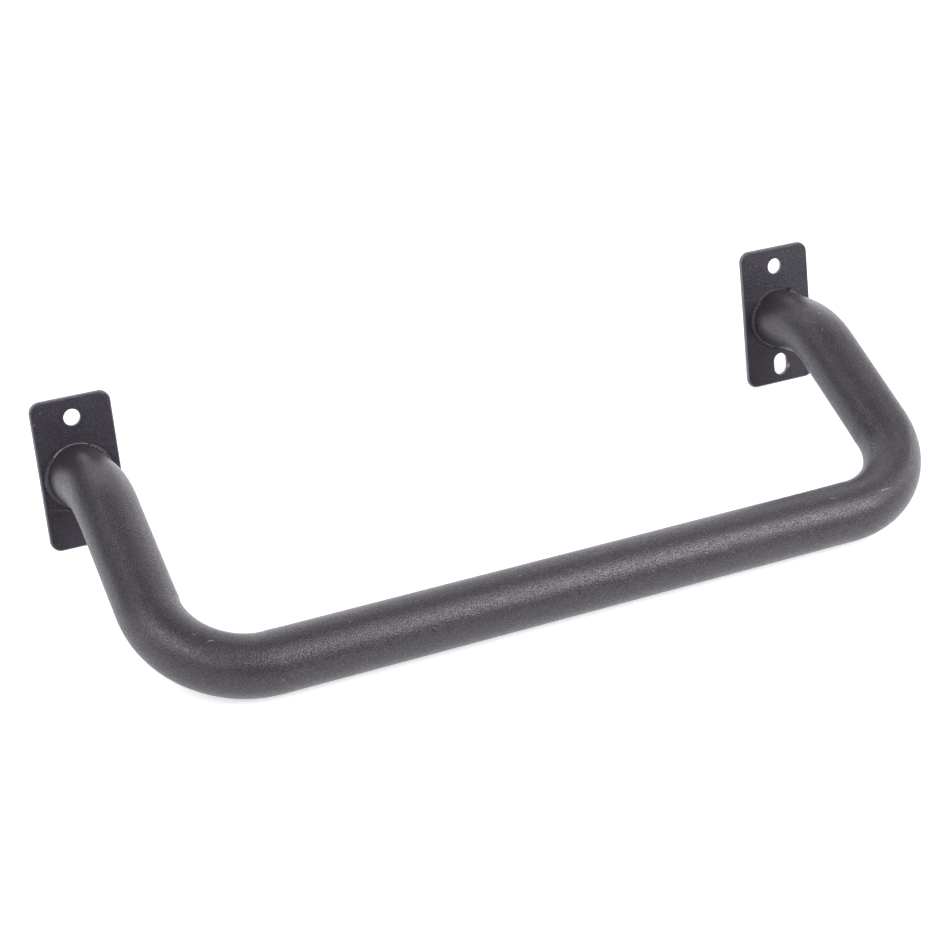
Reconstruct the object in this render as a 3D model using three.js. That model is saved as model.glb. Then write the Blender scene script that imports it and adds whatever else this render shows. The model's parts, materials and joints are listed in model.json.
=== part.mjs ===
// Bed assist rail, in millimetres, +Z up.
//
// One steel tube is bent four times into a wide U, and each of its ends is welded to a flat screw plate.
// The plates' back faces lie in the plane y = 0, against the bed side or wall that holds the rail. The
// origin is on that plane, midway between the axes of the two tube ends. From the plates the legs run
// towards -Y and slope down to the crossbar, which is parallel to X.
import * as THREE from 'three';

// Tube
const tubeDiameter = 32;
const tubeWall = 2;
const tubeSpacing = 420; // between the axes of the two tube ends
const stubLength = 26; // straight tube between a plate and its first bend
const legLength = 61; // straight tube between the two bends of a leg
const dropAngle = 35; // degrees from the plates' normal down to a leg
const bendRadius = 48; // of all four bends, to the tube's axis

// Plates
const plateThickness = 2.5;
const plateCornerRadius = 6;
const plateSideMargin = 2.75; // bare plate between a weld and the plate's side
const plateRise = 1; // the plate's middle lies this far above the tube's axis
const holeDiameter = 9.5; // of the upper hole, and the width of the lower slot
const slotTravel = 4; // the lower slot is this much longer than it is wide
const holeToTube = 13.5; // from the tube's surface, at plate-centre height, to a hole's centre
const holeToEnd = 10.5; // from a hole's centre to the nearer end of the plate

// Welds: each plate has two fillet runs round the tube, with a gap above and a gap below. Angles are
// in degrees from +X towards +Z, as seen from the front.
const weldWidth = 2.2; // of the fillet, along the plate and along the tube
const weldClearance = 0.3; // between the fillet and the tube that it surrounds
const weldBulge = 0.75; // how far the fillet's face swells towards its square corner, 0.5 is flat
const weldRunTowardsMinusX = { from: 135, to: 255 };
const weldRunTowardsPlusX = { from: -75, to: 65 };

// Facets
const roundSegments = 16; // in half a turn of the tube's section
const holeSegments = 12; // in half a turn of a hole, and in each corner of a plate
const weldFaceSegments = 4; // across a fillet's face
const bendStep = 9; // degrees of bend between sections of the tube
const weldStep = 6; // degrees of turn between sections of a fillet

// Worked out from the sizes above
const tubeRadius = tubeDiameter / 2;
const weldInnerRadius = tubeRadius + weldClearance;
const weldToeRadius = weldInnerRadius + weldWidth;
const plateWidth = 2 * (weldToeRadius + plateSideMargin);
const holeOffset = tubeRadius + holeToTube;
const plateHeight = 2 * (holeOffset + holeToEnd);
const crossbarLength = tubeSpacing - 2 * bendRadius;

const X = new THREE.Vector3(1, 0, 0);
const Y = new THREE.Vector3(0, 1, 0);
const Z = new THREE.Vector3(0, 0, 1);

// A path that has a section at each of its own stations, so that a straight needs only its two ends.
class StationPath extends THREE.Curve {
  constructor(stations) {
    super();
    this.stations = stations;
  }

  getSpacedPoints() {
    return this.stations.map((station) => station.point);
  }

  computeFrenetFrames() {
    return {
      tangents: this.stations.map((station) => station.tangent),
      normals: this.stations.map((station) => station.normal),
      binormals: this.stations.map((station) => station.tangent.clone().cross(station.normal)),
    };
  }
}

function sweep(section, stations, curveSegments) {
  return new THREE.ExtrudeGeometry(section, {
    steps: stations.length - 1,
    extrudePath: new StationPath(stations),
    curveSegments,
  });
}

// Walks along a bent tube's axis as a tube bender does, straight by straight and bend by bend.
class BenderWalk {
  constructor(point, tangent, normal) {
    this.stations = [{ point, tangent, normal }];
  }

  last() {
    return this.stations[this.stations.length - 1];
  }

  straight(length) {
    const { point, tangent, normal } = this.last();
    this.stations.push({ point: point.clone().addScaledVector(tangent, length), tangent, normal });
    return this;
  }

  // Turns the tube by an angle in degrees, by the right-hand rule about an axis square to its tangent.
  bend(radius, angle, axis) {
    const start = this.last();
    const towardsCentre = axis.clone().cross(start.tangent);
    const centre = start.point.clone().addScaledVector(towardsCentre, radius);
    const steps = Math.ceil(angle / bendStep);
    for (let step = 1; step <= steps; step += 1) {
      const turn = THREE.MathUtils.degToRad((angle * step) / steps);
      this.stations.push({
        point: start.point.clone().sub(centre).applyAxisAngle(axis, turn).add(centre),
        tangent: start.tangent.clone().applyAxisAngle(axis, turn),
        normal: start.normal.clone().applyAxisAngle(axis, turn),
      });
    }
    return this;
  }
}

function tubeStations() {
  const start = new THREE.Vector3(-tubeSpacing / 2, -plateThickness, 0);
  const legPlaneNormal = Z.clone().applyAxisAngle(X, THREE.MathUtils.degToRad(dropAngle));
  return new BenderWalk(start, Y.clone().negate(), X.clone())
    .straight(stubLength)
    .bend(bendRadius, dropAngle, X)
    .straight(legLength)
    .bend(bendRadius, 90, legPlaneNormal)
    .straight(crossbarLength)
    .bend(bendRadius, 90, legPlaneNormal)
    .straight(legLength)
    .bend(bendRadius, dropAngle, X.clone().negate())
    .straight(stubLength).stations;
}

function tubeGeometry() {
  const section = new THREE.Shape();
  section.absarc(0, 0, tubeRadius, 0, 2 * Math.PI);
  const bore = new THREE.Path();
  bore.absarc(0, 0, tubeRadius - tubeWall, 0, 2 * Math.PI);
  section.holes.push(bore);
  return sweep(section, tubeStations(), roundSegments);
}

function roundedRectangle(width, height, radius) {
  const shape = new THREE.Shape();
  const right = width / 2 - radius;
  const top = height / 2 - radius;
  const quarter = Math.PI / 2;
  shape.absarc(right, top, radius, 0, quarter);
  shape.absarc(-right, top, radius, quarter, 2 * quarter);
  shape.absarc(-right, -top, radius, 2 * quarter, 3 * quarter);
  shape.absarc(right, -top, radius, 3 * quarter, 4 * quarter);
  return shape;
}

function roundHole(height) {
  const hole = new THREE.Path();
  hole.absarc(0, height, holeDiameter / 2, 0, 2 * Math.PI);
  return hole;
}

function uprightSlot(height) {
  const hole = new THREE.Path();
  hole.absarc(0, height + slotTravel / 2, holeDiameter / 2, 0, Math.PI);
  hole.absarc(0, height - slotTravel / 2, holeDiameter / 2, Math.PI, 2 * Math.PI);
  return hole;
}

// The outline is drawn as it is seen from the front, and the plate grows from y = 0 towards -Y.
function plateGeometry() {
  const outline = roundedRectangle(plateWidth, plateHeight, plateCornerRadius);
  outline.holes.push(roundHole(holeOffset), uprightSlot(-holeOffset));
  const geometry = new THREE.ExtrudeGeometry(outline, {
    depth: plateThickness,
    bevelEnabled: false,
    curveSegments: holeSegments,
  });
  return geometry.rotateX(Math.PI / 2);
}

// A fillet run round a tube end whose axis is x = z = 0, on the front face of its plate.
function weldGeometry(run) {
  const section = new THREE.Shape();
  section.moveTo(0, 0);
  section.lineTo(weldWidth, 0);
  section.quadraticCurveTo(weldBulge * weldWidth, -weldBulge * weldWidth, 0, -weldWidth);
  section.closePath();

  const steps = Math.ceil((run.to - run.from) / weldStep);
  const stations = [];
  for (let step = 0; step <= steps; step += 1) {
    const angle = THREE.MathUtils.degToRad(run.from + ((run.to - run.from) * step) / steps);
    const outwards = new THREE.Vector3(Math.cos(angle), 0, Math.sin(angle));
    stations.push({
      point: outwards.clone().multiplyScalar(weldInnerRadius).setY(-plateThickness),
      tangent: new THREE.Vector3(-Math.sin(angle), 0, Math.cos(angle)),
      normal: outwards,
    });
  }
  return sweep(section, stations, weldFaceSegments);
}

function powderCoat(color) {
  return new THREE.MeshStandardMaterial({ color, roughness: 0.5, metalness: 0 });
}

function piece(name, geometry, color) {
  const mesh = new THREE.Mesh(geometry, powderCoat(color));
  mesh.name = name;
  return mesh;
}

function endAssembly(side, x, runs) {
  const end = new THREE.Group();
  end.position.x = x;
  const plate = piece(`${side}_plate`, plateGeometry(), '#333137');
  plate.position.z = plateRise;
  end.add(plate);
  for (const [place, run] of Object.entries(runs)) {
    end.add(piece(`${side}_weld_${place}`, weldGeometry(run), '#3b393f'));
  }
  return end;
}

const rail = new THREE.Group();
rail.add(piece('bent_tube', tubeGeometry(), '#4a484d'));
rail.add(
  endAssembly('left', -tubeSpacing / 2, { outboard: weldRunTowardsMinusX, inboard: weldRunTowardsPlusX }),
);
rail.add(
  endAssembly('right', tubeSpacing / 2, { outboard: weldRunTowardsPlusX, inboard: weldRunTowardsMinusX }),
);

export default rail;
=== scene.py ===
# %% [markdown]
# # A rail to hold on to beside a bed
# The real rail is one steel tube, bent four times into a wide, sloping U. A flat screw plate is welded
# across each of its ends, and the whole rail is powder-coated in a dark charcoal grey.
#
# The imported model holds the sizes and the places. It is loaded first, as a frame that nothing here
# moves. Its facets are coarse and its welds are plain, so each of its nodes gets a finer piece in its
# place: it has the same size and rides on the same body.

# %% Load the frame
import json
import math

import bmesh
import bpy
from mathutils import Matrix, Vector, noise


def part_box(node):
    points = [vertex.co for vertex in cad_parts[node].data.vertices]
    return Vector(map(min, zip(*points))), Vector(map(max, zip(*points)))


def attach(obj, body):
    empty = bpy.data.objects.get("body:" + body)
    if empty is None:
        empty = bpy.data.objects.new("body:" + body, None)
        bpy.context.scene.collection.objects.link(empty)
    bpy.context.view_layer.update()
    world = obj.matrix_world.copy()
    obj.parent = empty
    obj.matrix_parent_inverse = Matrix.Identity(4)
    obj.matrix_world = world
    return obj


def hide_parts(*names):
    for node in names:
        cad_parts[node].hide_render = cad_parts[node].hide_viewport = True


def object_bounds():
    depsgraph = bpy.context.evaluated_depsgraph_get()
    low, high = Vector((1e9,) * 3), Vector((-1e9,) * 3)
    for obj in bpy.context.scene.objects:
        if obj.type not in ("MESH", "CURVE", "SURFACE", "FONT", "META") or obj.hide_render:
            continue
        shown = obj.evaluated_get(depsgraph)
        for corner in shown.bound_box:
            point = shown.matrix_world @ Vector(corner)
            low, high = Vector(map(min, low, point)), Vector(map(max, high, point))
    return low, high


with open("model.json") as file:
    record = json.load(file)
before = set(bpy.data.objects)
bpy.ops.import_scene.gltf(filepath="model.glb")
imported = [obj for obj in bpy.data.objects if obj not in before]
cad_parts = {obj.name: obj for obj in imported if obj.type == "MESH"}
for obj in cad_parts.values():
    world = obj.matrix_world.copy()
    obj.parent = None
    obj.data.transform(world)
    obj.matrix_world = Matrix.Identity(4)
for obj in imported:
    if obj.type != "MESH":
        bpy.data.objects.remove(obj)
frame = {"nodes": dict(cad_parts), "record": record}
cad_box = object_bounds()
MM = 0.001
BODY = "root"
print("nodes:", ", ".join(sorted(frame["nodes"])))
print("overall size in mm:", [round(size / MM, 2) for size in cad_box[1] - cad_box[0]])

# %% [markdown]
# ## What the frame says about the tube
# The tube starts square to the left plate, bends down, runs along the leg, turns a corner, and comes
# back the same way on the right. All four bends were made on the same former, so one radius holds for
# all of them. That radius and the slope of the legs are how the rail was made. The box of the tube
# gives the rest: its radius, and how long the straights between the bends must be.

# %% Measure the tube and the plates
BEND_RADIUS = 48 * MM  # of all four bends, to the tube's axis
DROP = math.radians(35)  # from the plates' normal down to a leg
WALL = 2 * MM

tube_low, tube_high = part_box("bent_tube")
left_low, left_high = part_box("left_plate")
right_low, right_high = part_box("right_plate")
left_x = (left_low.x + left_high.x) / 2
right_x = (right_low.x + right_high.x) / 2
plate_front = left_low.y
tube_radius = tube_high.x - right_x
bar_y = tube_low.y + tube_radius
bar_z = tube_low.z + tube_radius

leg_length = (-bar_z - BEND_RADIUS * (1 - math.cos(DROP))) / math.sin(DROP) - BEND_RADIUS
leg_reach = BEND_RADIUS * math.sin(DROP) + (leg_length + BEND_RADIUS) * math.cos(DROP)
stub_length = plate_front - bar_y - leg_reach
bar_length = right_x - left_x - 2 * BEND_RADIUS
print(f"tube radius {tube_radius / MM:.2f} mm, stub {stub_length / MM:.2f} mm")
print(f"leg {leg_length / MM:.2f} mm, crossbar {bar_length / MM:.2f} mm")

# %% [markdown]
# ## The tube's route
# A curve object with a round bevel would draw a tube quickly, but its section stays a perfect circle,
# and a bent tube's doesn't. So the tube is swept here, station by station. The route is walked as the
# bender walks it, straight by straight and bend by bend. A station holds a point on the axis, the way
# ahead, and the direction from which angles round the tube are counted: 0 is the inside of the U, 90
# is the top, 180 is the outside and 270 is the underside.

# %% Walk the route
STRAIGHT_STEP = 5 * MM
BEND_STEP = math.radians(3)
FOOT_STEP = 0.4 * MM  # close stations where the tube meets its plate
FOOT_LENGTH = 3.2 * MM


class Route:
    """The axis of a bent tube, as a list of stations from the left plate to the right one."""

    def __init__(self, point, ahead, inside):
        self.stations = [(0.0, point, ahead, inside)]
        self.bends = []

    def straight(self, length, step=STRAIGHT_STEP):
        steps = max(1, round(length / step))
        for _ in range(steps):
            done, point, ahead, inside = self.stations[-1]
            stride = length / steps
            self.stations.append((done + stride, point + ahead * stride, ahead, inside))

    def bend(self, angle, axis, inner_side):
        start, point, ahead, inside = self.stations[-1]
        centre = point + axis.cross(ahead) * BEND_RADIUS
        steps = round(angle / BEND_STEP)
        for step in range(1, steps + 1):
            turn = Matrix.Rotation(angle * step / steps, 3, axis)
            done = start + BEND_RADIUS * angle * step / steps
            self.stations.append((done, centre + turn @ (point - centre), turn @ ahead, turn @ inside))
        self.bends.append((start, start + BEND_RADIUS * angle, inner_side))


X = Vector((1, 0, 0))
Y = Vector((0, 1, 0))
Z = Vector((0, 0, 1))
INSIDE = 0.0
UNDERSIDE = math.radians(270)

leg_plane_normal = Matrix.Rotation(DROP, 3, X) @ Z
route = Route(Vector((left_x, plate_front, 0)), -Y, X)
route.straight(FOOT_LENGTH, FOOT_STEP)
route.straight(stub_length - FOOT_LENGTH)
route.bend(DROP, X, UNDERSIDE)
route.straight(leg_length)
route.bend(math.pi / 2, leg_plane_normal, INSIDE)
route.straight(bar_length)
route.bend(math.pi / 2, leg_plane_normal, INSIDE)
route.straight(leg_length)
route.bend(DROP, -X, UNDERSIDE)
route.straight(stub_length - FOOT_LENGTH)
route.straight(FOOT_LENGTH, FOOT_STEP)
tube_length = route.stations[-1][0]
print(f"{len(route.stations)} stations along {tube_length / MM:.1f} mm of tube")

# %% [markdown]
# Nobody welds a tube exactly onto the middle of its plate. The right end is true, and the left one sits
# a millimetre off, towards the outside. The stub and the bend behind it lead back to the true route.

# %% Let the left foot wander
FOOT_WANDER = Vector((-1.0, 0, -0.3)) * MM  # of the left tube end, from the middle of its plate
WANDER_LENGTH = 45 * MM


def eased(share):
    """A smooth step from 0 to 1."""
    share = min(1.0, max(0.0, share))
    return share * share * (3 - 2 * share)


route.stations = [
    (done, point + FOOT_WANDER * (1 - eased(done / WANDER_LENGTH)), ahead, inside)
    for done, point, ahead, inside in route.stations
]
print("left foot at", [round(value / MM, 2) for value in route.stations[0][1]], "mm")

# %% [markdown]
# ## The section of a bent tube
# A bend squeezes a tube: its wall flattens on the inside of the bend, and a little on the outside, and
# the sides give way outwards. Where the former lets go of the tube, a faint ridge stays across the
# inner side. The steel is only some tenths of a millimetre out of round, and still the light shows it,
# so this is done in the mesh. At the plates the tube flares into the coat that fills its corner.

# %% Give the radius at any place on the tube
FLAT_INNER = 0.75 * MM  # lost on the inside of a bend
FLAT_OUTER = 0.35 * MM  # lost on the outside of it
SPREAD = 0.25 * MM  # gained on its sides
RIDGE = 0.22 * MM  # raised where a bend starts and ends
RIDGE_LENGTH = 5 * MM
FLARE = 0.9 * MM  # of the coat in the corner at a plate
FLARE_LENGTH = 0.5 * MM


def out_of_round(distance, angle):
    """How far the tube's surface lies outside a true circle, in metres."""
    offset = 0.0
    for start, end, inner_side in route.bends:
        inwards = math.cos(angle - inner_side)
        inner = max(0.0, inwards) ** 2
        outer = max(0.0, -inwards) ** 2
        sides = 1 - inwards**2
        along = (distance - start) / (end - start)
        if 0 < along < 1:
            squeeze = math.sqrt(math.sin(math.pi * along))
            offset += squeeze * (SPREAD * sides - FLAT_INNER * inner - FLAT_OUTER * outer)
        for edge in (start, end):
            offset += RIDGE * inner * math.exp(-(((distance - edge) / RIDGE_LENGTH) ** 2))
    foot = min(distance, tube_length - distance)
    return offset + FLARE * math.exp(-foot / FLARE_LENGTH)


def surface_point(distance, angle, depth=0.0):
    """A point on the tube, at a distance along it and an angle round it, in metres and radians."""
    ends = [station for station in route.stations if station[0] <= distance + 1e-9]
    done, point, ahead, inside = ends[-1]
    later = route.stations[min(len(ends), len(route.stations) - 1)]
    if later[0] > done:
        share = (distance - done) / (later[0] - done)
        point = point.lerp(later[1], share)
        ahead = ahead.lerp(later[2], share).normalized()
        inside = inside.lerp(later[3], share).normalized()
    outwards = inside * math.cos(angle) + ahead.cross(inside) * math.sin(angle)
    return point + outwards * (tube_radius + out_of_round(distance, angle) - depth)


corner_start, corner_end, _ = route.bends[1]
pinch = out_of_round((corner_start + corner_end) / 2, INSIDE)
print(f"inner side of a corner: {pinch / MM:.2f} mm")

# %% [markdown]
# ## Meshes from grids of points
# The tube, the plates' edges and the welds are all the same kind of surface: rows of points, joined
# row to row by four-sided faces. One helper makes such a skin. Another turns a mesh into a smooth
# piece that rides on the frame's body and hides the nodes it stands for.

# %% Write the two helpers
ROUND = 96  # points round the tube


def skin(mesh, rows, closed=True):
    """Joins each row of vertices to the next with quads, and gives the faces back."""
    faces = []
    for row, following in zip(rows, rows[1:]):
        count = len(row) if closed else len(row) - 1
        for i in range(count):
            j = (i + 1) % len(row)
            faces.append(mesh.faces.new((row[i], row[j], following[j], following[i])))
    return faces


def piece(name, mesh, *nodes, sharp=40):
    """Makes a smooth-shaded object of a bmesh, which stands for these nodes of the frame."""
    bmesh.ops.recalc_face_normals(mesh, faces=mesh.faces)
    data = bpy.data.meshes.new(name)
    mesh.to_mesh(data)
    mesh.free()
    data.shade_smooth()
    data.set_sharp_from_angle(angle=math.radians(sharp))
    made = bpy.data.objects.new(name, data)
    bpy.context.scene.collection.objects.link(made)
    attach(made, BODY)
    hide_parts(*nodes)
    print(f"{name}: {len(data.polygons)} faces")
    return made

# %% [markdown]
# ## The tube
# The tube is hollow, so it gets an outer skin and a bore, joined by a ring at each end. The bore is
# round and plain: nobody sees it, but the piece is then a real tube with a wall.

# %% Build the tube
def build_tube():
    mesh = bmesh.new()
    angles = [2 * math.pi * i / ROUND for i in range(ROUND)]
    outer, bore = [], []
    for distance, point, ahead, inside in route.stations:
        across = ahead.cross(inside)
        rim = [inside * math.cos(angle) + across * math.sin(angle) for angle in angles]
        reach = [tube_radius + out_of_round(distance, angle) for angle in angles]
        outer.append([mesh.verts.new(point + out * far) for out, far in zip(rim, reach)])
        bore.append([mesh.verts.new(point + out * (tube_radius - WALL)) for out in rim])
    skin(mesh, outer)
    skin(mesh, bore)
    skin(mesh, [outer[0], bore[0]])
    skin(mesh, [outer[-1], bore[-1]])
    return piece("tube", mesh, "bent_tube")


tube = build_tube()

# %% [markdown]
# ## The screw plates
# Each plate is a blank of sheet steel with rounded corners, a round hole near its top and an upright
# slot near its bottom. The coat rounds all its edges off. A bevel modifier could do that to a cut-out
# slab, but the holes make its corners hard to foresee. Here every edge is drawn as rings that follow
# a quarter circle, from the front face round to the side and on to the back. A round hole and a slot
# are rounded rectangles too, so one outline serves for all three. Powder gathers at edges, so the coat
# makes each plate a little larger than its blank and each hole a little narrower. The plates are also
# not welded on quite upright: seen from the front, both are turned by 0.4 degrees.

# %% Find the holes, and draw an outline
openings = {opening["name"]: opening["box_m"] for opening in frame["record"]["physics"]["openings"]}
HOLE = 9.5 * MM  # across the hole and the slot
SLOT_TRAVEL = 4 * MM
CORNER = 6 * MM
SIDE_ROUNDING = 1.5 * MM  # of the edge between the front face and the sides
HOLE_ROUNDING = 0.3 * MM  # of the holes' edges
BACK_ROUNDING = 0.35 * MM  # of the edge between the sides and the back face
COAT_ON_EDGES = {  # across and up
    "left": (0.4 * MM, 0.6 * MM),
    "right": (0.9 * MM, 0.7 * MM),
}
COAT_IN_HOLES = 0.3 * MM
PLATE_TURN = math.radians(-0.4)  # seen from the front
SAME_PLACE = 0.001 * MM
SHARPEST_CORNER = 0.05 * MM
EDGE_STEPS = 5
CORNER_STEPS = 14


def middle(name):
    """Where the middle of an opening of the record lies, across and up."""
    low, high = openings[name]
    return (low[0] + high[0]) / 2, (low[2] + high[2]) / 2


def outline(centre, width, height, corner, grow):
    """A rounded rectangle, moved outwards by grow, as points across and up."""
    points = []
    corner = max(corner + grow, SHARPEST_CORNER)
    side = width / 2 + grow - corner
    top = height / 2 + grow - corner
    for quarter, (sign_x, sign_z) in enumerate(((1, 1), (-1, 1), (-1, -1), (1, -1))):
        for step in range(CORNER_STEPS + 1):
            angle = math.pi / 2 * (quarter + step / CORNER_STEPS)
            across = centre[0] + sign_x * side + corner * math.cos(angle)
            up = centre[1] + sign_z * top + corner * math.sin(angle)
            points.append((across, up))
    return points


for name in openings:
    if "screw_hole" in name or "screw_slot" in name:
        print(name, "at", [round(value / MM, 2) for value in middle(name)])

# %% [markdown]
# The edge rings and the two flat faces make a closed solid. The flat faces have two holes in them, and
# a triangle fill between the three rings takes care of that. A weighted-normal modifier then keeps
# the flat faces flat in the light, right up to their rounded edges.

# %% Build the plates
def edge_rings(front, back):
    """Pairs of how far a ring lies inside the outline, and how far behind the front face."""
    thickness = -plate_front
    rings = []
    turns = [math.pi / 2 * step / EDGE_STEPS for step in range(EDGE_STEPS + 1)]
    for turn in turns:
        rings.append((front * (1 - math.sin(turn)), front * (1 - math.cos(turn))))
    for turn in turns:
        rings.append((back * (1 - math.cos(turn)), thickness - back * (1 - math.sin(turn))))
    return rings


def build_plate(side, low, high):
    mesh = bmesh.new()
    centre = ((low.x + high.x) / 2, (low.z + high.z) / 2)
    sides = edge_rings(SIDE_ROUNDING, BACK_ROUNDING)
    rims = edge_rings(HOLE_ROUNDING, HOLE_ROUNDING)
    across, up = COAT_ON_EDGES[side]
    hole = HOLE - 2 * COAT_IN_HOLES
    shapes = [
        (centre, high.x - low.x + 2 * across, high.z - low.z + 2 * up, CORNER, sides, -1),
        (middle(f"{side}_upper_screw_hole"), hole, hole, hole / 2, rims, 1),
        (middle(f"{side}_lower_screw_slot"), hole, hole + SLOT_TRAVEL, hole / 2, rims, 1),
    ]
    front_edges, back_edges = [], []
    for place, width, height, corner, rings, outwards in shapes:
        rows = []
        for inset, depth in rings:
            points = outline(place, width, height, corner, outwards * inset)
            rows.append([mesh.verts.new((x, plate_front + depth, z)) for x, z in points])
        skin(mesh, rows)
        for row, edges in ((rows[0], front_edges), (rows[-1], back_edges)):
            edges += [mesh.edges.get((row[i - 1], row[i])) for i in range(len(row))]
    bmesh.ops.triangle_fill(mesh, use_beauty=True, edges=front_edges)
    bmesh.ops.triangle_fill(mesh, use_beauty=True, edges=back_edges)
    bmesh.ops.remove_doubles(mesh, verts=mesh.verts, dist=SAME_PLACE)
    pivot = Vector((centre[0], 0, centre[1]))
    bmesh.ops.rotate(mesh, cent=pivot, matrix=Matrix.Rotation(-PLATE_TURN, 3, "Y"), verts=mesh.verts)
    plate = piece(f"{side}_screw_plate", mesh, f"{side}_plate")
    weighted = plate.modifiers.new("flat faces stay flat", "WEIGHTED_NORMAL")
    weighted.keep_sharp = True
    return plate


plates = [build_plate("left", left_low, left_high), build_plate("right", right_low, right_high)]

# %% [markdown]
# ## The welds
# Each plate is welded on in two runs, with a gap above and a gap below. A run is a bead of steel
# drops that froze one after the other, so its surface is rippled, and it ends in a rounded step. The
# frame's plain beads say where the runs start and end. The angle of each of their points round the
# tube is measured, and the widest gap between those angles is what the run leaves out.

# %% Measure the runs
LEGS = {  # how far each bead reaches from its corner: at its first end, its middle and its last end
    "left_weld_outboard": (1.4 * MM, 2.8 * MM, 2.6 * MM),
    "left_weld_inboard": (2.4 * MM, 2.8 * MM, 2.0 * MM),
    "right_weld_outboard": (2.4 * MM, 2.4 * MM, 2.7 * MM),
    "right_weld_inboard": (2.0 * MM, 2.2 * MM, 2.4 * MM),
}
RIPPLE = 0.07 * MM
RIPPLE_PITCH = 2.1 * MM
WELD_STEP = 0.3 * MM
FACE_STEPS = 8
SQUARENESS = 0.85  # 1 makes a bead's section a quarter circle, less makes it squarer
END_LENGTH = 0.7  # of a run's rounded end, in legs
FILL = 2.0  # how much the middle of a run swells towards its middle leg
WANDER = 0.3 * MM  # of the leg, at random
WANDER_PITCH = 4 * MM
ROOT_DEPTH = 0.3 * MM  # of the bead's root, inside the tube and the plate
THINNEST = 0.02 * MM


def run_of(node, tube_x):
    """The first and last angle of a frame's bead round the tube, counted from +X towards +Z."""
    vertices = frame["nodes"][node].data.vertices
    angles = sorted({round(math.atan2(v.co.z, v.co.x - tube_x), 4) for v in vertices})
    gaps = [(after - before, after) for before, after in zip(angles, angles[1:])]
    gaps.append((angles[0] + 2 * math.pi - angles[-1], angles[0] + 2 * math.pi))
    gap, first = max(gaps)
    return first, first + 2 * math.pi - gap


runs = {}
for side, tube_x, foot in (("left", left_x, 0), ("right", right_x, -1)):
    for place in ("outboard", "inboard"):
        node = f"{side}_weld_{place}"
        runs[node] = (route.stations[foot][1], *run_of(node, tube_x))
        print(node, "runs over", [round(math.degrees(angle) % 360) for angle in runs[node][1:]])

# %% [markdown]
# A sculpted bead would need a fine mesh and a steady hand. A formula gives one that can be tuned: the
# bead's leg is a steady size, times a rounded end, plus ripples and a little noise. Its face bulges
# slightly, and its root lies in the corner, inside the tube and the plate, so that it reads as fused.

# %% Build the weld beads
def bead_leg(along, length, legs, seed):
    """How far the bead reaches from its corner, at a distance along its run."""
    first, middle_leg, last = legs
    share = along / length
    leg = first * (1 - share) ** 2 + middle_leg * 2 * share * (1 - share) + last * share**2
    leg += (middle_leg - (first + last) / 2) * share * (1 - share) * FILL
    from_end = min(along, length - along)
    rounded = math.sqrt(max(0.0, 1 - max(0.0, 1 - from_end / (END_LENGTH * leg)) ** 2))
    ripple = RIPPLE * math.cos(2 * math.pi * along / RIPPLE_PITCH)
    wander = WANDER * noise.noise(Vector((along / WANDER_PITCH, seed, 0)))
    return max(THINNEST, rounded * (leg + ripple + wander))


def build_bead(node, seed):
    foot, first, last = runs[node]
    mesh = bmesh.new()
    length = (last - first) * tube_radius
    steps = round(length / WELD_STEP)
    rows = []
    for step in range(steps + 1):
        angle = first + (last - first) * step / steps
        leg = bead_leg(length * step / steps, length, LEGS[node], seed)
        outwards = Vector((math.cos(angle), 0, math.sin(angle)))
        corner = foot + outwards * tube_radius
        row = [mesh.verts.new(corner - outwards * ROOT_DEPTH + Y * ROOT_DEPTH)]
        for face_step in range(FACE_STEPS + 1):
            turn = math.pi / 2 * face_step / FACE_STEPS
            across = outwards * max(0.0, math.cos(turn)) ** SQUARENESS
            row.append(mesh.verts.new(corner + (across - Y * math.sin(turn) ** SQUARENESS) * leg))
        rows.append(row)
    skin(mesh, rows)
    mesh.faces.new(rows[0])
    mesh.faces.new(rows[-1])
    return piece(f"{node}_bead", mesh, node, sharp=60)


beads = [build_bead(node, seed) for seed, node in enumerate(runs)]

# %% [markdown]
# ## Shader maths in plain expressions
# A material is a tree of nodes, and a tree written node by node is hard to read. Two small classes
# help. A Wire is one output socket, and arithmetic on wires adds the Math nodes that work it out. A
# Finish is one material, and its add method makes any other node: it takes the node's type, its
# settings, and the values or wires for its sockets.

# %% Write the two classes
class Wire:
    """An output socket of a shader node, which can be added, multiplied and so on."""

    def __init__(self, finish, socket):
        self.finish = finish
        self.socket = socket

    def math(self, operation, first, second=0.0):
        return self.finish.add("Math", {"operation": operation}, {0: first, 1: second})

    def __add__(self, other):
        return self.math("ADD", self, other)

    def __sub__(self, other):
        return self.math("SUBTRACT", self, other)

    def __rsub__(self, other):
        return self.math("SUBTRACT", other, self)

    def __mul__(self, other):
        return self.math("MULTIPLY", self, other)

    __radd__ = __add__
    __rmul__ = __mul__


class Finish:
    """A material whose nodes are added one call at a time."""

    def __init__(self, name):
        self.material = bpy.data.materials.new(name)
        self.material.use_nodes = True
        self.tree = self.material.node_tree
        self.tree.nodes.clear()

    def add(self, kind, settings, inputs, output=0):
        node = self.tree.nodes.new("ShaderNode" + kind)
        for name, value in settings.items():
            setattr(node, name, value)
        for key, value in inputs.items():
            if isinstance(value, Wire):
                self.tree.links.new(value.socket, node.inputs[key])
            else:
                node.inputs[key].default_value = value
        return Wire(self, node.outputs[output]) if node.outputs else None

    def smooth(self, value, low, high):
        """0 below low, 1 above high, and a smooth slope between them. Low may be the larger one."""
        settings = {"interpolation_type": "SMOOTHSTEP"}
        return self.add("MapRange", settings, {"Value": value, "From Min": low, "From Max": high})

    def mix(self, share, first, second):
        """A colour between two others."""
        settings = {"data_type": "RGBA"}
        return self.add("Mix", settings, {0: share, 6: first, 7: second}, output=2)


print("shader helpers ready")

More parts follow.
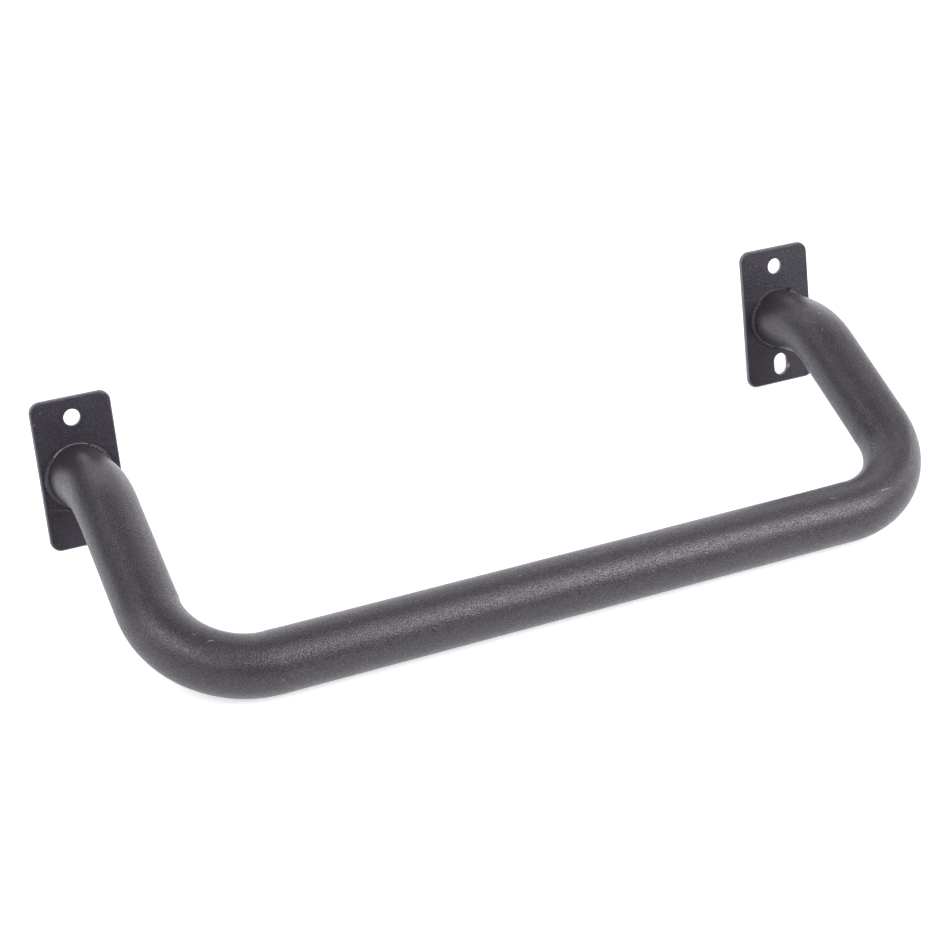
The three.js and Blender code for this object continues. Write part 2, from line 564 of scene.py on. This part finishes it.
# %% [markdown]
# ## Small wear
# The rail is used, or was packed carelessly. There are some short pale scratches on top of the crossbar
# and its corners, a few specks where the coat caught a grain of dust, and a brown chip in the edge of
# the right slot. A painted image could show them, but only from one side and at one size. Here each
# mark is a short line in space, placed by its distance along the tube and its angle round it, and the
# shader turns the distance from that line into a mask. Fine noise breaks the mask up.

# %% Turn lines into masks
def on_tube(*marks):
    """Lines in space, from (distance, angle, distance, angle, width, strength) in mm and degrees."""
    lines = []
    for first, first_angle, last, last_angle, width, strength in marks:
        start = surface_point(first * MM, math.radians(first_angle))
        end = surface_point(last * MM, math.radians(last_angle))
        lines.append((start, end, width * MM, strength))
    return lines


def on_plate(*marks):
    """Lines on the plates' front faces, from (x, z, x, z, width, strength) in mm."""
    lines = []
    for x, z, last_x, last_z, width, strength in marks:
        start = Vector((x * MM, plate_front, z * MM))
        lines.append((start, Vector((last_x * MM, plate_front, last_z * MM)), width * MM, strength))
    return lines


def line_mask(finish, place, lines):
    """1 on the lines, 0 away from them."""
    total = 0.0
    for start, end, width, strength in lines:
        along = end - start
        offset = finish.add("VectorMath", {"operation": "SUBTRACT"}, {0: place, 1: start})
        dot = finish.add("VectorMath", {"operation": "DOT_PRODUCT"}, {0: offset, 1: along}, output=1)
        clamped = {"operation": "MULTIPLY", "use_clamp": True}
        share = finish.add("Math", clamped, {0: dot, 1: 1 / along.length_squared})
        nearest = finish.add("VectorMath", {"operation": "SCALE"}, {0: along, 3: share})
        distance = finish.add("VectorMath", {"operation": "DISTANCE"}, {0: offset, 1: nearest}, output=1)
        total = finish.smooth(distance, width, width * 0.3) * strength + total
    return total


print("line helpers ready")

# %% [markdown]
# A finish takes its wear, and two painted highlights, as a list of functions, so that the tube, the
# plates and the welds can share one coat and still wear in their own ways. Each function changes the
# colour and the roughness that it is given. Two of them need no lines: the plates are pale along their
# edges, where the coat is thin and gets rubbed, and where a painted highlight stands in for the light
# their rounding catches. And a thin pale line runs where the tube and its welds meet a plate, stronger
# on the left: a painted highlight of the light caught on the toe of a weld.

# %% Paint the wear and the highlights of edges and roots
# The edge grey is partly wear and partly a painted highlight, and the root grey is a painted highlight.
# The pale and tan marks are real wear.
EDGE_WEAR_AND_HIGHLIGHT_GREY = (0.16, 0.153, 0.175)
ROOT_HIGHLIGHT_GREY = (0.13, 0.124, 0.137)
PALE = (0.30, 0.28, 0.30)
TAN = (0.32, 0.20, 0.13)


def marked_with(lines, paint):
    """A mark function for the coat: it lays broken lines of a paint over the colour."""

    def mark(finish, place, colour, roughness):
        flecks = finish.add("TexNoise", {}, {"Vector": place, "Scale": 1900, "Detail": 1})
        mask = line_mask(finish, place, lines) * finish.smooth(flecks, 0.35, 0.6)
        return finish.mix(mask, colour, (*paint, 1)), mask * 0.15 + roughness

    return mark


def edge_wear_and_highlight(finish, place, colour, roughness):
    """Rubbed paler coat on a plate's rounded edges and sides, and a painted highlight of the light they
    catch.
    """
    depth = finish.add("SeparateXYZ", {}, {0: place}, output=1) - plate_front
    # wear and painted highlight: the whole rounded rim and the sides get the pale grey
    mask = finish.smooth(depth, 0.03 * MM, 0.7 * MM) * finish.smooth(depth, 2.4 * MM, 1.9 * MM)
    return finish.mix(mask * 0.8, colour, (*EDGE_WEAR_AND_HIGHLIGHT_GREY, 1)), roughness


def painted_root_highlight(finish, place, colour, roughness):
    """A painted highlight: a thin pale line where a bead or the tube meets its plate, fainter on the
    right.
    """
    depth = plate_front - finish.add("SeparateXYZ", {}, {0: place}, output=1)
    left = finish.smooth(finish.add("SeparateXYZ", {}, {0: place}), 0.1, -0.1)
    # painted highlight of the light on a weld's toe, stronger on the left
    mask = finish.smooth(depth, 0.5 * MM, 0.15 * MM) * (left * 0.6 + 0.2)
    return finish.mix(mask, colour, (*ROOT_HIGHLIGHT_GREY, 1)), roughness


# two of these four colours are painted highlights
print("wear comes in four colours")

# %% [markdown]
# The marks themselves are tables: where each one starts and ends, how wide it is and how strong. There
# are only a few, and no two are alike, because even wear all over looks stamped.

# %% Write down the marks
tube_scratches = on_tube(
    (150, 90, 151.5, 90, 0.45, 0.5),
    (159, 91, 160.5, 88, 0.45, 0.8),
    (221, 57, 237, 62, 0.35, 0.15),
    (356, 65, 370, 77, 0.35, 0.2),
    (500.5, 88, 503.5, 90, 0.5, 0.6),
    (489, 82, 492, 95, 0.3, 0.25),
    (529.5, 106, 534.5, 112, 0.5, 0.6),
    (552, 118, 556, 130, 0.35, 0.25),
    (556, 130, 560, 142, 0.35, 0.25),
)
tube_specks = on_tube(
    (190.5, 158, 191, 158, 0.5, 0.5),
    (229.5, 86, 230, 86, 0.45, 0.6),
    (309, 94, 309.5, 94, 0.45, 0.4),
    (313, 96, 313.5, 96, 0.45, 0.4),
    (321, 81, 321.5, 81, 0.5, 0.7),
    (330, 76, 330.5, 76, 0.5, 0.6),
    (347, 96, 347.5, 96, 0.45, 0.4),
    (415, 179, 415.5, 179, 0.5, 0.5),
    (654, 67, 654.5, 67, 0.6, 0.5),
    (660, 63, 660.5, 63, 0.55, 0.4),
    (664, 86, 664.5, 86, 0.6, 0.5),
    (670, 72, 670.5, 72, 0.6, 0.6),
)
plate_scratches = on_plate(
    (-229.5, -16, -219.5, -18.5, 0.35, 0.3),
    (-230, 30.5, -229.5, 30.5, 0.6, 0.7),
    (-226, 36, -225.5, 36, 0.4, 0.3),
    (198, 33, 198.5, 33, 0.4, 0.3),
)
chip_top = Vector((214.7, -2.3, -29.7)) * MM
slot_chip = [(chip_top, chip_top - Z * 1.2 * MM, 1.4 * MM, 1.0)]
print(len(tube_scratches + tube_specks), "marks on the tube")

# %% [markdown]
# ## The powder coat
# Powder coat is a plastic that was dusted on as a powder and melted in an oven. This one is a fine
# texture grade: charcoal, satin, with a grain of about half a millimetre that sparkles where a light
# is mirrored, on top of a softer waviness of some millimetres. Real displacement that fine would need
# millions of faces, so a bump node cuts the grain into the light. The tops of the grains are also
# rubbed a little smoother and paler than the hollows, and a clear layer lies over them in tiny flecks,
# which makes the sparkle. The plates and the welds look darker than the tube and sparkle less.

# %% Mix the coat
GRAIN_SCALE = 1800  # features per metre, as of all the scales here
DIMPLE_SCALE = 1500
GLINT_SCALE = 2100
PEEL_SCALE = 160
PATCH_SCALE = 20
GRAIN_DEPTH = 0.25 * MM
PEEL_DEPTH = 0.06 * MM


def powder_coat(name, dark, light, specular, sparkle, marks):
    """The satin charcoal coat. Marks is a list of functions that lay wear over its colour."""
    finish = Finish(name)
    place = finish.add("TexCoord", {}, {}, output=3)

    def texture(scale, detail=0):
        return finish.add("TexNoise", {}, {"Vector": place, "Scale": scale, "Detail": detail})

    cells = {"Vector": place, "Scale": DIMPLE_SCALE, "Smoothness": 0.4}
    dimples = finish.add("TexVoronoi", {"feature": "SMOOTH_F1"}, cells)
    patches = texture(PATCH_SCALE, 3)
    height = texture(GRAIN_SCALE) * 0.8 + dimples * 0.4
    tops = finish.smooth(height, 0.42, 0.8)
    glints = finish.smooth(texture(GLINT_SCALE), 0.52, 0.68)
    colour = finish.mix(tops * 0.8 + patches * 0.2, (*dark, 1), (*light, 1))
    roughness = 0.37 - tops * 0.05 + (patches - 0.5) * 0.05
    for mark in marks:
        colour, roughness = mark(finish, place, colour, roughness)
    grained = finish.add("Bump", {}, {"Height": height, "Distance": GRAIN_DEPTH})
    peel = {"Height": texture(PEEL_SCALE, 2), "Distance": PEEL_DEPTH, "Normal": grained}
    sockets = {
        "Base Color": colour,
        "Roughness": roughness,
        "Specular IOR Level": specular,
        "Normal": finish.add("Bump", {}, peel),
        "Coat Weight": glints * sparkle,
        "Coat Roughness": 0.3,
    }
    finish.add("OutputMaterial", {}, {"Surface": finish.add("BsdfPrincipled", {}, sockets)})
    return finish.material


# The root marks are painted highlights and the edge marks are partly painted highlights; the line marks
# are real wear.
tube_marks = [painted_root_highlight, marked_with(tube_scratches + tube_specks, PALE)]
plate_marks = [edge_wear_and_highlight, marked_with(plate_scratches, PALE), marked_with(slot_chip, TAN)]
COATS = (  # name, dark and light colour, specular level, sparkle, marks, and what gets the coat
    ("powder_coat_tube", (0.013, 0.012, 0.014), (0.036, 0.033, 0.040), 0.45, 0.75, tube_marks, [tube]),
    ("powder_coat_plates", (0.012, 0.010, 0.015), (0.028, 0.025, 0.034), 0.36, 0.4, plate_marks, plates),
    ("powder_coat_welds", (0.012, 0.010, 0.014), (0.028, 0.025, 0.032), 0.36, 0.4, [painted_root_highlight], beads),
)
for *recipe, coated in COATS:
    coat = powder_coat(*recipe)
    for made in coated:
        made.data.materials.append(coat)
    print(coat.name, "has", len(coat.node_tree.nodes), "nodes")

# %% [markdown]
# ## The studio
# Unscrewed, the rail doesn't stand as it hangs on a bed. It lies on a table, tipped forwards onto its
# crossbar and the lower edges of its plates. The floor is therefore laid against those three, at a
# slope in the frame's own axes. It is plain and pale, and lit so brightly that it shows only where the
# rail shades it. Part of that light is a glow of its own, as of a light table. It keeps the shadows
# faint, and it is stronger far away, past the lamps' reach.

# %% Lay the floor
FLOOR_HALF = 3.0
FLOOR_MIDDLE = Vector((0, -0.1, 0))
GLOW_NEAR = (0.56, 0.56, 0.56, 1)
GLOW_FAR = (1.1, 1.1, 1.1, 1)


def white_paper():
    paper = Finish("white_paper")
    place = paper.add("TexCoord", {}, {}, output=3)
    fibre = paper.add("TexNoise", {}, {"Vector": place, "Scale": 900, "Detail": 2})
    shade = paper.mix(fibre, (0.65, 0.65, 0.66, 1), (0.69, 0.69, 0.69, 1))
    away = paper.add("VectorMath", {"operation": "LENGTH"}, {0: place}, output=1)
    glow = paper.mix(paper.smooth(away, 0.45, 0.9), GLOW_NEAR, GLOW_FAR)
    sockets = {"Base Color": shade, "Roughness": 0.9, "Emission Color": glow, "Emission Strength": 1.0}
    paper.add("OutputMaterial", {}, {"Surface": paper.add("BsdfPrincipled", {}, sockets)})
    return paper.material


def lay_floor():
    """Lays the floor against the rail and gives its turn from the frame's axes."""
    rise = bar_z - left_low.z
    reach = math.hypot(bar_y, rise)
    slope = math.atan2(rise, -bar_y) - math.asin(tube_radius / reach)
    turn = Matrix.Rotation(-slope, 3, X)
    centre = Vector((0, 0, left_low.z)) + turn @ FLOOR_MIDDLE
    mesh = bmesh.new()
    corners = [Vector((x, y, 0)) * FLOOR_HALF for x, y in ((-1, -1), (1, -1), (1, 1), (-1, 1))]
    mesh.faces.new([mesh.verts.new(centre + turn @ corner) for corner in corners])
    data = bpy.data.meshes.new("floor")
    mesh.to_mesh(data)
    mesh.free()
    floor = bpy.data.objects.new("floor", data)
    bpy.context.scene.collection.objects.link(floor)
    data.materials.append(white_paper())
    print(f"the floor slopes by {math.degrees(slope):.2f} degrees")
    return turn


floor_turn = lay_floor()

# %% [markdown]
# The rig is a product studio's. One large softbox in front and to the right draws the long band of
# light along the tube, two banks work from the left, a small box hangs overhead, and bright walls
# behind and beside the rail edge its dark curves with light. Nothing stands right behind the camera,
# so that what faces it stays dark. One sun or one point of light would draw a thin hard line along the
# tube instead. Each box is placed by its direction and given the brightness of its own face.

# %% Light it
middle_of_rail = (cad_box[0] + cad_box[1]) / 2
BOX_DISTANCE = 1.6
LAMP_COLOUR = (1.0, 0.965, 1.03)  # a little lilac, as the shadows of the rail are
LAMPS = (  # name, azimuth, elevation, width, height, brightness
    ("key", 38, 39, 1.0, 0.9, 8.8),
    ("overhead", 45, 68, 0.75, 0.75, 3.2),
    ("left_bank", 282, 42, 1.0, 0.75, 5.4),
    ("left_fill", 319, 34, 0.85, 0.65, 2.8),
    ("left_back_wall", 214, 42, 1.0, 0.75, 1.0),
    ("left_wall", 270, 12, 1.1, 0.5, 2.1),
    ("right_wall", 90, 12, 1.1, 0.5, 2.9),
    ("right_back_wall", 135, 12, 1.1, 0.5, 2.9),
    ("back_wall", 180, 12, 1.1, 0.5, 2.9),
    ("high_right_back_wall", 135, 42, 1.0, 0.75, 1.8),
    ("high_back_wall", 180, 42, 1.0, 0.75, 1.8),
)


def softbox(name, azimuth, elevation, width, height, brightness):
    """A rectangular area light. Azimuth 0 is in front of the rail and 90 on its right."""
    turn = math.radians(azimuth)
    lift = math.radians(elevation)
    towards = Vector((math.sin(turn) * math.cos(lift), -math.cos(turn) * math.cos(lift), math.sin(lift)))
    data = bpy.data.lights.new(name, "AREA")
    data.shape = "RECTANGLE"
    data.color = LAMP_COLOUR
    data.size = width
    data.size_y = height
    data.energy = math.pi * width * height * brightness
    lamp = bpy.data.objects.new(name, data)
    lamp.location = middle_of_rail + floor_turn @ towards * BOX_DISTANCE
    lamp.rotation_mode = "QUATERNION"
    lamp.rotation_quaternion = (middle_of_rail - lamp.location).to_track_quat("-Z", "Y")
    lamp.visible_camera = False
    bpy.context.scene.collection.objects.link(lamp)


for lamp_values in LAMPS:
    softbox(*lamp_values)
print(len(LAMPS), "lights")

# %% [markdown]
# The room itself adds little light. It is seen as plain white behind the rail, a little brighter than
# white can be shown, so that no light or shadow leaves a trace on it.

# %% Paint the surroundings
def surroundings(lighting, shown):
    """A plain bright room: one strength lights the rail, and another is seen behind it."""
    world = bpy.data.worlds.new("studio")
    world.use_nodes = True
    tree = world.node_tree
    tree.nodes.clear()
    path = tree.nodes.new("ShaderNodeLightPath")
    room = tree.nodes.new("ShaderNodeBackground")
    backdrop = tree.nodes.new("ShaderNodeBackground")
    either = tree.nodes.new("ShaderNodeMixShader")
    out = tree.nodes.new("ShaderNodeOutputWorld")
    room.inputs["Strength"].default_value = lighting
    backdrop.inputs["Strength"].default_value = shown
    for background in (room, backdrop):
        background.inputs["Color"].default_value = (1, 1, 1, 1)
    tree.links.new(path.outputs["Is Camera Ray"], either.inputs[0])
    tree.links.new(room.outputs[0], either.inputs[1])
    tree.links.new(backdrop.outputs[0], either.inputs[2])
    tree.links.new(either.outputs[0], out.inputs["Surface"])
    bpy.context.scene.world = world


surroundings(lighting=0.05, shown=1.1)
bpy.context.scene.view_settings.view_transform = "Standard"

# %% [markdown]
# ## The camera
# The rail is seen from its open side, from a little to the left and from above, with a long lens and
# the camera slightly rolled. A camera is easy to reason about when it is set up the way one would
# say it aloud: which way round, how high, how far, aimed at what.

# %% Set the camera up
CAMERA_AZIMUTH = math.radians(-21.61)
CAMERA_ELEVATION = math.radians(17.78)
CAMERA_ROLL = math.radians(-6.58)
CAMERA_DISTANCE = 1.1975
CAMERA_AIM = Vector((-0.0194, 0.0064, -0.0036))  # from the rail's middle
LENS = 86.3
SENSOR = 36


def set_camera():
    back = Vector((
        math.sin(CAMERA_AZIMUTH) * math.cos(CAMERA_ELEVATION),
        -math.cos(CAMERA_AZIMUTH) * math.cos(CAMERA_ELEVATION),
        math.sin(CAMERA_ELEVATION),
    ))
    data = bpy.data.cameras.new("camera")
    data.lens = LENS
    data.sensor_width = SENSOR
    camera = bpy.data.objects.new("camera", data)
    camera.location = middle_of_rail + CAMERA_AIM + back * CAMERA_DISTANCE
    facing = (-back).to_track_quat("-Z", "Y").to_matrix()
    camera.rotation_mode = "QUATERNION"
    camera.rotation_quaternion = (facing @ Matrix.Rotation(CAMERA_ROLL, 3, "Z")).to_quaternion()
    bpy.context.scene.collection.objects.link(camera)
    bpy.context.scene.camera = camera
    print("camera at", [round(value, 4) for value in camera.location])


set_camera()
